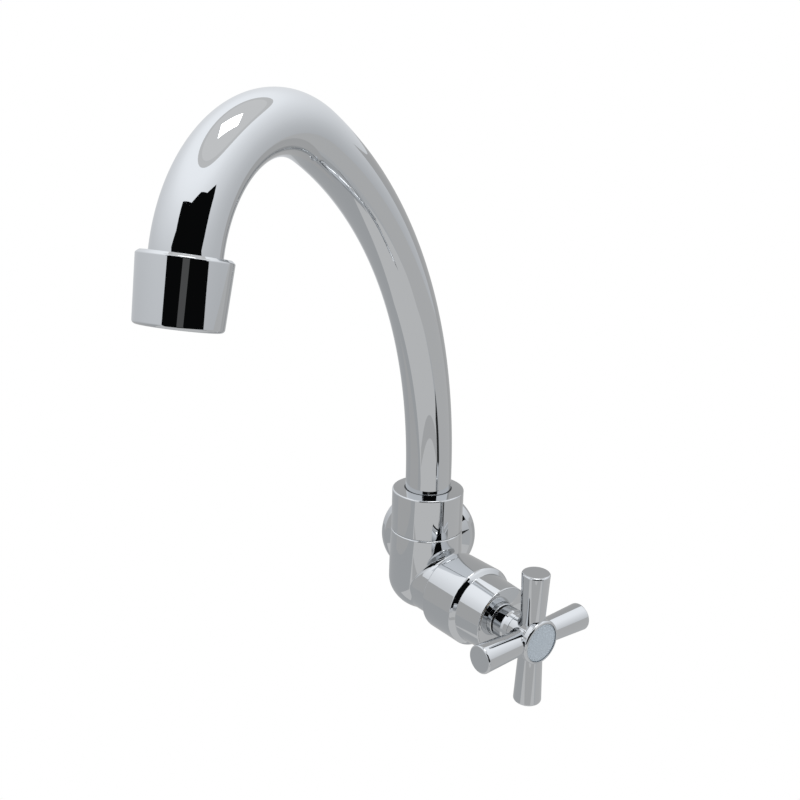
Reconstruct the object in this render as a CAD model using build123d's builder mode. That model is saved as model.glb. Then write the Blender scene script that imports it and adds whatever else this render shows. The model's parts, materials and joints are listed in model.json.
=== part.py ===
"""Wall-mounted kitchen tap with a swivel swan-neck spout and a cross handle.

Millimetres, +Z up. The wall is the plane Y = 0 and the tap stands out of it towards -Y.
The origin is the centre of the threaded inlet, in the plane of the wall.
The body is one casting: a threaded inlet shank, an upright barrel that carries the
swivelling spout, and a boss that points to the front right and carries the valve.
"""

import os
from math import atan2, cos, degrees, radians, sin

from build123d import *

os.makedirs("parts", exist_ok=True)

# The three axes of the tap, which all meet inside the body.
reach = 51.0  # from the wall to the upright axis of the spout
valve_turn = 42.0  # degrees from straight out of the wall, to the right
spout_turn = 24.5  # degrees from straight out of the wall, to the left

# The body casting.
barrel_r = 18.1  # at the height of the valve, where the barrel is widest
barrel_depth = 16.4  # of its domed underside, below the valve axis
corner_r = 13.6  # where the barrel's side turns into its underside
boss_r = 15.9
boss_end = 24.0  # distances along the valve axis start at the upright axis
boss_blend = 3.0
shank_blend = 2.0
shank_r = 12.6
shank_end = -8.0  # Y where the plain shank ends and the thread starts
thread_r = 10.48  # half the major diameter of a G1/2 thread
thread_end = 12.0  # how far the thread stands into the wall
inlet_r = 6.0
seat_r = 4.8
seat_floor = 3.5
chamber_r = 10.3
port_r = 3.3
port_place = 9.5

# The swivel joint on top of the body.
seam = 26.2
collar_r = 17.5
collar_top = 46.7
collar_crown = 0.6  # how much its top rises towards the tube
collar_round = 0.7  # rounding of its top edge
collar_foot = 0.15  # bevel of its lower edge, at the seam
spigot_r = 15.0
spigot_top = 37.5
socket_r = 12.05
socket_floor = 17.5
shoulder_seat = 33.0
shoulder_r = 13.4
shoulder_top = 35.5
ledge = 37.7  # underside of the collar's top wall
sleeve_r = 11.55  # of the slip ring, where it stands in the collar's bore
running_gap = 0.08

# The spout: an upright stub, a wide arc, a tight arc, and a straight threaded end.
tube_r = 11.1
tube_wall = 1.0
stub_top = 53.0
wide_arc_r, wide_arc_turn = 177.5, 65.0
tight_arc_r, tight_arc_turn = 49.4, 102.5
tube_end = 9.0

# The aerator on the end of the spout, measured along the tube from the end of its bend.
cap_r = 14.75  # at the spout's side; the cap narrows a little towards its mouth
cap_tip_r = 13.75
cap_start = -0.6
cap_end = 21.4
cap_bore = 11.15
lip = 19.5
lip_r = 9.6
washer_end = tube_end + 2.2
screen_start = 18.7

# The valve, its shroud and its handle, measured along the valve axis.
shroud_start = 20.6
shroud_r = 19.4
shroud_wall = 1.4
shroud_lip = 1.3  # its rear rim is turned in to sit on the boss
shoulder = 2.6  # length of the rounded shoulder at the sleeve's front
bell_start = 42.0
bell_r = 17.0
rim = 56.5
rim_r = 16.1
rim_round = 0.6
dish_floor = 50.0
dish_floor_r = 9.6  # where the flat floor of the dish starts to rise
dish_side_r = 13.2  # half way up the side of the dish
dish_wall = 1.2
neck_r = 8.05
neck_end = 56.3
neck_lip = 1.0  # the nut's front wall, which closes round the spindle
neck_thread_r = 7.0  # half the major diameter of the nut's thread
disc_r = 7.3
disc_start = 6.0
disc_thick = 3.1
stem_r = 4.5
hex_start = 25.0
hex_end = 30.0

handle_start = 57.3
stem_r_out = 7.7  # the handle's stem: a short plain collar, then a slimmer waist
stem_collar_end = 62.0
stem_waist_r = 7.1
arm_plane = 74.4
arm_reach = 31.8
arm_root_r = 5.1
arm_tip_r = 6.4
arm_edge = 0.6  # rounding of the arms' ends
hub_r = 10.3
hub_back = 77.0
hub_face = 80.8
button_r = 9.0
button_floor = 79.2
spindle_end = 70.2
square_start = 60.5  # the spindle's square end, which the handle slides onto
square_side = 7.2
screw_seat = 75.0  # where the screw's head bears in the handle
screw_tip = 61.5
screw_r = 2.1
screw_head_r = 3.9
screw_head = 3.0

flange_r = 25.7
flange_depth = 12.0
flange_rim = 1.6  # width of the straight edge that stands on the wall
flange_wall = 1.2
dome_middle = (-6.9, 22.6)  # Y and radius of a point half way over the dome
dome_inner = (-9.4, 17.0)  # where the dome turns into the cone towards the shank

up = Vector(0, 0, 1)
centre = Vector(0, -reach, 0)
valve_way = Vector(sin(radians(valve_turn)), -cos(radians(valve_turn)), 0)
spout_way = Vector(-sin(radians(spout_turn)), -cos(radians(spout_turn)), 0)

upright_axis = Axis(centre, up)
valve_axis = Axis(centre, valve_way)

# Section planes. In each, x runs along the piece's axis and y is the radius, except the
# barrel's, where x is the radius and y is the height.
barrel_section = Plane(origin=centre, x_dir=(1, 0, 0), z_dir=(0, -1, 0))
valve_section = Plane(origin=centre, x_dir=valve_way, z_dir=valve_way.cross(up))
spout_section = Plane(origin=centre, x_dir=spout_way, z_dir=spout_way.cross(up))
inlet_section = Plane(origin=(0, 0, 0), x_dir=(0, 1, 0), z_dir=(1, 0, 0))


def outline(plane, *points):
    """A flat face in the plane, bounded by straight lines through the points."""
    with BuildSketch(plane) as drawn:
        with BuildLine():
            Polyline(*points, close=True)
        make_face()
    return drawn.sketch


def across(axis_point, way, side):
    """The plane square to a way, for circles and prisms that run along it."""
    return Plane(origin=axis_point, x_dir=side, z_dir=way)


def valve_plane(distance):
    """The plane square to the valve axis, its y axis pointing up."""
    return across(centre + valve_way * distance, valve_way, up.cross(valve_way))


def level(height):
    """The level plane at a height, centred on the upright axis."""
    return Plane(origin=(0, -reach, height))


# The body casting. Its outer form first, then the seats and the water's way through it.
# The underside is an arc centred on the upright axis, which meets the corner's arc
# smoothly: the line through both centres gives the angle where they meet.
corner_out, corner_down = barrel_r - corner_r, barrel_depth - corner_r
underside_height = (corner_out**2 - corner_down**2) / (2 * corner_down)
corner_turn = degrees(atan2(underside_height, corner_out))
with BuildPart() as tap_body:
    with BuildSketch(barrel_section):
        with BuildLine():
            corner = JernArc((barrel_r, 0), (0, -1), corner_r, -corner_turn)
            TangentArc(corner @ 1, (0, -barrel_depth), tangent=corner % 1)
            TangentArc((barrel_r, 0), (collar_r, seam), tangent=(0, 1))
            Line((collar_r, seam), (0, seam))
            Line((0, seam), (0, -barrel_depth))
        make_face()
    revolve(axis=upright_axis)
    with BuildSketch(valve_plane(0)):
        Circle(boss_r)
    extrude(amount=boss_end)
    boss_foot = tap_body.edges(Select.NEW).filter_by_position(valve_axis, 0, boss_end - 1)
    fillet(boss_foot, boss_blend)
    with BuildSketch(Plane(origin=centre, x_dir=(1, 0, 0), z_dir=(0, 1, 0))):
        Circle(shank_r)
    extrude(amount=reach + shank_end)
    shank_foot = tap_body.edges(Select.NEW).filter_by_position(Axis.Y, -reach, shank_end - 1)
    fillet(shank_foot, shank_blend)
    with BuildSketch(Plane(origin=(0, shank_end, 0), x_dir=(1, 0, 0), z_dir=(0, 1, 0))):
        Circle(thread_r)
    extrude(amount=thread_end - shank_end)
    chamfer(tap_body.faces().sort_by(Axis.Y)[-1].edges(), 1.0)
    with BuildSketch(level(seam)):
        Circle(spigot_r)
    extrude(amount=spigot_top - seam)
    # The socket for the spout's foot, and the wider seat for its shoulder.
    revolve(
        outline(
            barrel_section,
            (0, socket_floor),
            (socket_r, socket_floor),
            (socket_r, shoulder_seat),
            (shoulder_r + 0.2, shoulder_seat),
            (shoulder_r + 0.2, spigot_top),
            (0, spigot_top),
        ),
        axis=upright_axis,
        mode=Mode.SUBTRACT,
    )
    # The inlet, the seat and the valve chamber, then the port up to the spout.
    revolve(
        outline(
            inlet_section,
            (-reach, 0),
            (thread_end, 0),
            (thread_end, inlet_r),
            (-reach, inlet_r),
        ),
        axis=Axis.Y,
        mode=Mode.SUBTRACT,
    )
    revolve(
        outline(
            valve_section,
            (-2, 0),
            (boss_end, 0),
            (boss_end, chamber_r),
            (seat_floor, chamber_r),
            (seat_floor, seat_r),
            (-2, seat_r),
        ),
        axis=valve_axis,
        mode=Mode.SUBTRACT,
    )
    port_centre = centre + valve_way * port_place
    with BuildSketch(Plane(origin=port_centre)):
        Circle(port_r)
    extrude(amount=socket_floor + 1, mode=Mode.SUBTRACT)
tap_body.part.label = "tap_body"
export_step(tap_body.part, "parts/tap_body.step")

# The domed wall flange, a thin spun cover whose mouth slides along the shank.
mouth_r = shank_r + 0.15
with BuildPart() as wall_flange:
    with BuildSketch(inlet_section):
        with BuildLine():
            Line((0, flange_r), (-flange_rim, flange_r))
            ThreePointArc((-flange_rim, flange_r), dome_middle, dome_inner)
            Polyline(
                dome_inner,
                (-flange_depth, shank_r + 1.9),
                (-flange_depth, mouth_r),
                (-flange_depth + 1.0, mouth_r),
                (-8.2, 16.4),
            )
            ThreePointArc((-8.2, 16.4), (-5.9, 21.8), (-flange_wall, flange_r - flange_wall))
            Polyline(
                (-flange_wall, flange_r - flange_wall),
                (0, flange_r - flange_wall),
                (0, flange_r),
            )
        make_face()
    revolve(axis=Axis.Y)
wall_flange.part.label = "wall_flange"
export_step(wall_flange.part, "parts/wall_flange.step")

# The smooth round nut that holds the spout down, flush with the barrel below it.
with BuildPart() as spout_collar:
    revolve(
        outline(
            barrel_section,
            (spigot_r + 0.05, seam),
            (collar_r - collar_foot, seam),
            (collar_r, seam + collar_foot),
            (collar_r, collar_top),
            (sleeve_r + 0.05, collar_top + collar_crown),
            (sleeve_r + 0.05, ledge),
            (spigot_r + 0.05, ledge),
        ),
        axis=upright_axis,
    )
    widest = spout_collar.edges().filter_by(lambda edge: abs(edge.center().Z - collar_top) < 0.01)
    fillet(widest, collar_round)
spout_collar.part.label = "spout_collar"
export_step(spout_collar.part, "parts/spout_collar.step")

# The plastic slip ring: its flange bears on the spout's shoulder, its sleeve guides the tube.
slip_bore = tube_r + running_gap
with BuildPart() as spout_slip_ring:
    revolve(
        outline(
            barrel_section,
            (slip_bore, shoulder_top),
            (shoulder_r, shoulder_top),
            (shoulder_r, ledge),
            (sleeve_r, ledge),
            (sleeve_r, collar_top + collar_crown - 0.3),
            (slip_bore, collar_top + collar_crown - 0.3),
        ),
        axis=upright_axis,
    )
spout_slip_ring.part.label = "spout_slip_ring"
export_step(spout_slip_ring.part, "parts/spout_slip_ring.step")

# The spout tube, one ring section carried along its centre line.
with BuildPart() as spout_tube:
    with BuildLine(spout_section) as spout_line:
        stub = Line((0, shoulder_top), (0, stub_top))
        wide = JernArc(stub @ 1, stub % 1, wide_arc_r, -wide_arc_turn)
        tight = JernArc(wide @ 1, wide % 1, tight_arc_r, -tight_arc_turn)
        PolarLine(tight @ 1, tube_end, direction=tight % 1)
    with BuildSketch(level(shoulder_top)):
        Circle(tube_r)
        Circle(tube_r - tube_wall, mode=Mode.SUBTRACT)
    sweep(path=spout_line.line)
spout_tube.part.label = "spout_tube"
export_step(spout_tube.part, "parts/spout_tube.step")

# The brass foot brazed into the tube. Its plug turns in the body's socket.
groove_places = (22.0, 27.5)
foot_bore = 8.0
groove_width = 3.0
groove_r = 9.45
with BuildPart() as spout_foot:
    revolve(
        outline(
            barrel_section,
            (foot_bore, socket_floor + 0.8),
            (11.2, socket_floor + 0.8),
            (socket_r - running_gap, socket_floor + 1.6),
            (socket_r - running_gap, shoulder_seat),
            (shoulder_r, shoulder_seat),
            (shoulder_r, shoulder_top),
            (tube_r - tube_wall, shoulder_top),
            (tube_r - tube_wall, shoulder_top + 8.5),
            (foot_bore, shoulder_top + 8.5),
        ),
        axis=upright_axis,
    )
    for groove in groove_places:
        with BuildSketch(level(groove)):
            Circle(socket_r)
            Circle(groove_r, mode=Mode.SUBTRACT)
        extrude(amount=groove_width, mode=Mode.SUBTRACT)
spout_foot.part.label = "spout_foot"
export_step(spout_foot.part, "parts/spout_foot.step")

spout_cord = 1.27  # half an O-ring's thickness; eight sides are enough for its section
with BuildPart() as spout_o_rings:
    for groove in groove_places:
        with BuildSketch(barrel_section):
            with Locations((groove_r + 0.01 + spout_cord, groove + groove_width / 2)):
                RegularPolygon(spout_cord, 8)
        revolve(axis=upright_axis)
spout_o_rings.part.label = "spout_o_rings"
export_step(spout_o_rings.part, "parts/spout_o_rings.step")

# The aerator. Its pieces are turned about the line of the tube's straight end.
outlet = tight @ 1
outlet_way = tight % 1
outlet_axis = Axis(outlet, outlet_way)
outlet_section = Plane(origin=outlet, x_dir=outlet_way, z_dir=spout_section.z_dir)


def outlet_plane(distance):
    """The plane square to the outlet, at a distance from the end of the bend."""
    return across(outlet + outlet_way * distance, outlet_way, spout_section.z_dir)


with BuildPart() as aerator_shell:
    revolve(
        outline(
            outlet_section,
            (cap_start, cap_bore),
            (cap_start, cap_r - 1.2),
            (cap_start + 0.9, cap_r),
            (cap_end, cap_tip_r),
            (cap_end, lip_r + 0.6),
            (cap_end - 0.6, lip_r),
            (lip, lip_r),
            (lip, cap_bore),
        ),
        axis=outlet_axis,
    )
    outer_rim = aerator_shell.faces().sort_by(outlet_axis)[-1].edges().sort_by(SortBy.RADIUS)[-1]
    fillet(outer_rim, 1.2)
aerator_shell.part.label = "aerator_shell"
export_step(aerator_shell.part, "parts/aerator_shell.step")

with BuildPart() as aerator_washer:
    revolve(
        outline(
            outlet_section,
            (tube_end, 8.4),
            (tube_end, cap_bore - 0.05),
            (washer_end, cap_bore - 0.05),
            (washer_end, 8.4),
        ),
        axis=outlet_axis,
    )
aerator_washer.part.label = "aerator_washer"
export_step(aerator_washer.part, "parts/aerator_washer.step")

# The plastic insert: a cup whose floor is a plate of jets, with a cross of ribs below it.
insert_r = cap_bore - 0.05
jet_plate = 2.0
with BuildPart() as aerator_insert:
    with BuildSketch(outlet_plane(washer_end)):
        Circle(insert_r)
    extrude(amount=screen_start - washer_end)
    with BuildSketch(outlet_plane(washer_end + jet_plate)):
        Circle(insert_r - 1.4)
        Rectangle(2 * insert_r, 1.0, mode=Mode.SUBTRACT)
        Rectangle(1.0, 2 * insert_r, mode=Mode.SUBTRACT)
    extrude(amount=screen_start - washer_end - jet_plate, mode=Mode.SUBTRACT)
    with BuildSketch(outlet_plane(washer_end)):
        with PolarLocations(5.6, 12, start_angle=15):
            Circle(0.8)
    extrude(amount=jet_plate, mode=Mode.SUBTRACT)
aerator_insert.part.label = "aerator_insert"
export_step(aerator_insert.part, "parts/aerator_insert.step")

# The screen under it, a thin disc with square gaps.
gap_pitch, gap_side, gap_count = 1.9, 1.3, 9
with BuildPart() as aerator_screen:
    with BuildSketch(outlet_plane(screen_start)):
        Circle(insert_r)
        with BuildSketch(mode=Mode.SUBTRACT):
            with GridLocations(gap_pitch, gap_pitch, gap_count, gap_count):
                Rectangle(gap_side, gap_side)
            Circle(lip_r - 0.2, mode=Mode.INTERSECT)
    extrude(amount=lip - screen_start)
aerator_screen.part.label = "aerator_screen"
export_step(aerator_screen.part, "parts/aerator_screen.step")

# The stepped shroud over the valve: a wide sleeve, a narrower bell and a dished front.
with BuildPart() as bonnet_shroud:
    with BuildSketch(valve_section):
        with BuildLine():
            Polyline(
                (shroud_start, boss_r + 0.1),
                (shroud_start, shroud_r - 0.9),
                (shroud_start + 0.9, shroud_r),
                (bell_start - shoulder, shroud_r),
            )
            ThreePointArc(
                (bell_start - shoulder, shroud_r),
                (bell_start - 0.7, shroud_r - 0.8),
                (bell_start, bell_r),
            )
            Line((bell_start, bell_r), (rim - rim_round, rim_r))
            ThreePointArc(
                (rim - rim_round, rim_r),
                (rim, rim_r - rim_round),
                (rim - rim_round, rim_r - 2 * rim_round),
            )
            ThreePointArc(
                (rim - rim_round, rim_r - 2 * rim_round),
                (dish_floor + 1.6, dish_side_r),
                (dish_floor, dish_floor_r),
            )
            Polyline(
                (dish_floor, dish_floor_r),
                (dish_floor, neck_thread_r + 0.15),
                (dish_floor - dish_wall, neck_thread_r + 0.15),
                (dish_floor - dish_wall, dish_side_r + 1.0),
                (dish_floor - 2.0, bell_r - 1.8),
                (bell_start, bell_r - 1.5),
                (bell_start - shoulder, shroud_r - shroud_wall),
                (shroud_start + shroud_lip, shroud_r - shroud_wall),
                (shroud_start + shroud_lip, boss_r + 0.1),
                (shroud_start, boss_r + 0.1),
            )
        make_face()
    revolve(axis=valve_axis)
bonnet_shroud.part.label = "bonnet_shroud"
export_step(bonnet_shroud.part, "parts/bonnet_shroud.step")

with BuildPart() as neck_nut:
    revolve(
        outline(
            valve_section,
            (dish_floor, neck_thread_r + 0.05),
            (dish_floor, neck_r),
            (neck_end - 0.5, neck_r),
            (neck_end, neck_r - 0.5),
            (neck_end, stem_r + 0.3),
            (neck_end - neck_lip, stem_r + 0.3),
            (neck_end - neck_lip, neck_thread_r + 0.05),
        ),
        axis=valve_axis,
    )
neck_nut.part.label = "neck_nut"
export_step(neck_nut.part, "parts/neck_nut.step")

# The valve cartridge. Water comes up through the two ceramic discs and leaves at the side.
cage_r = 8.4
cage_bore = disc_r + 0.15
window_start, window_end = disc_start + disc_thick + 0.6, 15.2
cavity_end = 21.0
stem_guide_r = 9.0
hex_across = 24.0
stem_bore = stem_r + 0.1
with BuildPart() as cartridge_body:
    revolve(
        outline(
            valve_section,
            (seat_floor + 0.8, cage_bore),
            (seat_floor + 0.8, cage_r),
            (15.6, cage_r),
            (16.4, chamber_r - 0.05),
            (hex_start, chamber_r - 0.05),
            (hex_start, stem_guide_r),
            (dish_floor - dish_wall, stem_guide_r),
            (dish_floor - dish_wall, neck_thread_r),
            (neck_end - neck_lip - 0.1, neck_thread_r),
            (neck_end - neck_lip - 0.1, stem_bore),
            (cavity_end, stem_bore),
            (cavity_end, cage_bore),
        ),
        axis=valve_axis,
    )
    with BuildSketch(valve_plane(hex_start)):
        RegularPolygon(hex_across / 2, 6, major_radius=False)
        Circle(stem_guide_r, mode=Mode.SUBTRACT)
    extrude(amount=hex_end - hex_start)
    with BuildSketch(valve_plane(window_start)):
        Rectangle(2 * chamber_r, 9.0)
        Circle(cage_bore - 0.5, mode=Mode.SUBTRACT)
    extrude(amount=window_end - window_start, mode=Mode.SUBTRACT)
cartridge_body.part.label = "cartridge_body"
export_step(cartridge_body.part, "parts/cartridge_body.step")

with BuildPart() as bonnet_gasket:
    with BuildSketch(valve_plane(boss_end)):
        Circle(13.0)
        Circle(chamber_r, mode=Mode.SUBTRACT)
    extrude(amount=hex_start - boss_end)
bonnet_gasket.part.label = "bonnet_gasket"
export_step(bonnet_gasket.part, "parts/bonnet_gasket.step")

with BuildPart() as seat_seal:
    with BuildSketch(valve_plane(seat_floor)):
        Circle(disc_r)
        Circle(seat_r, mode=Mode.SUBTRACT)
    extrude(amount=disc_start - seat_floor)
seat_seal.part.label = "seat_seal"
export_step(seat_seal.part, "parts/seat_seal.step")


def sector_gaps(turn):
    """Two opposite openings of 76 degrees, as ceramic discs have, turned about the axis."""
    inner, outer, half = 1.6, 5.4, radians(38)
    with BuildSketch() as gaps:
        for side in (0, 180):
            middle = radians(turn + side)
            corners = [
                (r * cos(middle + a), r * sin(middle + a))
                for r, a in ((inner, -half), (outer, -half), (outer, half), (inner, half))
            ]
            with BuildLine():
                Line(corners[0], corners[1])
                ThreePointArc(
                    corners[1], (outer * cos(middle), outer * sin(middle)), corners[2]
                )
                Line(corners[2], corners[3])
                ThreePointArc(
                    corners[3], (inner * cos(middle), inner * sin(middle)), corners[0]
                )
            make_face()
    return gaps.sketch


def ceramic_disc(start, radius, turn):
    """A ceramic disc with its two sector openings."""
    with BuildPart() as disc:
        with BuildSketch(valve_plane(start)):
            Circle(radius)
            add(sector_gaps(turn), mode=Mode.SUBTRACT)
        extrude(amount=disc_thick)
    return disc.part


# The discs. At rest the tap is shut: the openings stand a quarter turn apart.
fixed_disc = ceramic_disc(disc_start, disc_r, 0)
fixed_disc.label = "fixed_disc"
export_step(fixed_disc, "parts/fixed_disc.step")

moving_start = disc_start + disc_thick
moving_disc = ceramic_disc(moving_start, disc_r - 0.1, 90)
moving_disc.label = "moving_disc"
export_step(moving_disc, "parts/moving_disc.step")

# The spindle: a driver on the moving disc, the stem with two ring grooves, a square end.
driver_start = moving_start + disc_thick
stem_grooves = (37.0, 42.0)
stem_groove_width = 2.1
stem_groove_r = 2.85
clip_place = neck_end
with BuildPart() as valve_spindle:
    revolve(
        outline(
            valve_section,
            (driver_start, 0),
            (driver_start, 4.2),
            (driver_start + 2.0, 4.2),
            (driver_start + 2.0, disc_r),
            (cavity_end, disc_r),
            (cavity_end, stem_r),
            (square_start, stem_r),
            (square_start, 0),
        ),
        axis=valve_axis,
    )
    with BuildSketch(valve_plane(square_start)):
        RectangleRounded(square_side, square_side, 0.8)
    extrude(amount=spindle_end - square_start)
    for groove in stem_grooves:
        with BuildSketch(valve_plane(groove)):
            Circle(stem_r + 0.5)
            Circle(stem_groove_r, mode=Mode.SUBTRACT)
        extrude(amount=stem_groove_width, mode=Mode.SUBTRACT)
    with BuildSketch(valve_plane(clip_place + 0.1)):
        Circle(stem_r + 0.5)
        Circle(3.9, mode=Mode.SUBTRACT)
    extrude(amount=0.8, mode=Mode.SUBTRACT)
    with BuildSketch(valve_plane(screw_tip - 1.5)):
        Circle(screw_r + 0.02)
    extrude(amount=spindle_end - screw_tip + 1.5, mode=Mode.SUBTRACT)
valve_spindle.part.label = "valve_spindle"
export_step(valve_spindle.part, "parts/valve_spindle.step")

stem_cord = 0.86
with BuildPart() as spindle_o_rings:
    for groove in stem_grooves:
        with BuildSketch(valve_section):
            with Locations((groove + stem_groove_width / 2, stem_groove_r + 0.01 + stem_cord)):
                RegularPolygon(stem_cord, 8)
        revolve(axis=valve_axis)
spindle_o_rings.part.label = "spindle_o_rings"
export_step(spindle_o_rings.part, "parts/spindle_o_rings.step")

# The open clip that keeps the spindle from being pushed in.
with BuildPart() as spindle_clip:
    with BuildSketch(valve_plane(clip_place + 0.15)):
        Circle(5.9)
        Circle(3.95, mode=Mode.SUBTRACT)
        with Locations((0, -5)):
            Rectangle(4.5, 10, mode=Mode.SUBTRACT)
    extrude(amount=0.7)
spindle_clip.part.label = "spindle_clip"
export_step(spindle_clip.part, "parts/spindle_clip.step")

# The cross handle: a sleeve over the spindle, four bars that widen outwards, a round hub.
with BuildPart() as cross_handle:
    revolve(
        outline(
            valve_section,
            (handle_start, 0),
            (handle_start, stem_r_out - 0.4),
            (handle_start + 0.4, stem_r_out),
            (stem_collar_end, stem_r_out),
            (stem_collar_end + 2.3, stem_waist_r + 0.2),
            (arm_plane - 6.0, stem_waist_r),
            (arm_plane - 4.0, stem_waist_r + 0.8),
            (hub_back, 8.4),
            (hub_back + 0.6, hub_r - 0.5),
            (hub_back + 1.1, hub_r),
            (hub_face - 0.5, hub_r),
            (hub_face, hub_r - 0.5),
            (hub_face, 0),
        ),
        axis=valve_axis,
    )
    arm_middle = centre + valve_way * arm_plane
    sideways = up.cross(valve_way)
    for arm_way in (up, sideways, -up, -sideways):
        revolve(
            outline(
                Plane(origin=arm_middle, x_dir=arm_way, z_dir=valve_way),
                (0, 0),
                (0, arm_root_r),
                (arm_reach, arm_tip_r),
                (arm_reach, 0),
            ),
            axis=Axis(arm_middle, arm_way),
        )
    circles = cross_handle.edges().filter_by(GeomType.CIRCLE)
    fillet(circles.filter_by(lambda edge: abs(edge.radius - arm_tip_r) < 0.01), arm_edge)
    # The recess for the button, the screw's counterbore and hole, the square socket.
    revolve(
        outline(
            valve_section,
            (hub_face, 0),
            (hub_face, button_r + 0.05),
            (button_floor, button_r + 0.05),
            (button_floor, screw_head_r + 0.2),
            (screw_seat, screw_head_r + 0.2),
            (screw_seat, screw_r + 0.1),
            (spindle_end, screw_r + 0.1),
            (spindle_end, 0),
        ),
        axis=valve_axis,
        mode=Mode.SUBTRACT,
    )
    with BuildSketch(valve_plane(square_start)):
        RectangleRounded(square_side + 0.1, square_side + 0.1, 0.8)
    extrude(amount=spindle_end + 0.1 - square_start, mode=Mode.SUBTRACT)
    with BuildSketch(valve_plane(handle_start)):
        Circle(6.4)
    extrude(amount=square_start - handle_start, mode=Mode.SUBTRACT)
cross_handle.part.label = "cross_handle"
export_step(cross_handle.part, "parts/cross_handle.step")

with BuildPart() as handle_screw:
    revolve(
        outline(
            valve_section,
            (screw_tip, 0),
            (screw_tip, screw_r - 0.4),
            (screw_tip + 0.5, screw_r),
            (screw_seat, screw_r),
            (screw_seat, screw_head_r),
            (screw_seat + screw_head - 0.8, screw_head_r),
            (screw_seat + screw_head, screw_head_r - 0.8),
            (screw_seat + screw_head, 0),
        ),
        axis=valve_axis,
    )
    with BuildSketch(valve_plane(screw_seat + screw_head)):
        Rectangle(4.6, 0.9)
        Rectangle(0.9, 4.6)
    extrude(amount=-1.4, mode=Mode.SUBTRACT)
handle_screw.part.label = "handle_screw"
export_step(handle_screw.part, "parts/handle_screw.step")

with BuildPart() as handle_cap:
    with BuildSketch(valve_section):
        with BuildLine():
            Line((button_floor, 0), (button_floor, button_r))
            Line((button_floor, button_r), (hub_face - 0.6, button_r))
            Line((hub_face - 0.6, button_r), (hub_face - 0.3, button_r - 0.4))
            TangentArc((hub_face, 0), (hub_face - 0.3, button_r - 0.4), tangent=(0, 1))
            Line((hub_face, 0), (button_floor, 0))
        make_face()
    revolve(axis=valve_axis)
handle_cap.part.label = "handle_cap"
export_step(handle_cap.part, "parts/handle_cap.step")
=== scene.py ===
# %% [markdown]
# # A chromed kitchen tap, dressed for its photograph
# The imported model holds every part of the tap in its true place: in metres, +Z up, with the wall in
# the plane Y = 0 and the tap standing out of it towards -Y. Nothing here moves those parts. This
# script makes finer surfaces for the chrome that shows, gives every part a finish, and sets up a
# camera and a small studio.

import json

import bpy
import numpy as np
from mathutils import Matrix


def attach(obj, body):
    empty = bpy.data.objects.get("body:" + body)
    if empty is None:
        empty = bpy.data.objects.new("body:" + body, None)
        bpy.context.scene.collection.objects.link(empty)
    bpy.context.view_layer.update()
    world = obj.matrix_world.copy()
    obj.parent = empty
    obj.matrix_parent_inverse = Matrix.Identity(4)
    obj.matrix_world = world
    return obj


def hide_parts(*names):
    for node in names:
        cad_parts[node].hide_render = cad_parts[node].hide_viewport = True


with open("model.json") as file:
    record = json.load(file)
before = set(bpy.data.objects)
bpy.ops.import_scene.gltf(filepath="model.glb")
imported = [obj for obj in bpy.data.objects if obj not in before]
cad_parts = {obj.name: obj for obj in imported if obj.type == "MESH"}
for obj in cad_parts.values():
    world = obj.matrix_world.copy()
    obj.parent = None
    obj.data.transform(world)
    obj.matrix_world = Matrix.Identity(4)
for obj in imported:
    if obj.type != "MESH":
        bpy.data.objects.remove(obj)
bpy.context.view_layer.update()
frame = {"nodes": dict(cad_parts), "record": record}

# %% [markdown]
# Polished chrome hides nothing. It mirrors the room, so a facet that would never show on painted
# metal bends the picture in it. A Bevel modifier on the model's own triangles would leave such
# facets. For that reason the chrome pieces are surfaces worked out with numpy, and each point also
# gets the exact direction in which the surface faces there. Blender shades with these directions,
# so a mirror picture runs smoothly across the mesh.

# %% One helper turns rings of points into a closed mesh
mm = 0.001


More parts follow.
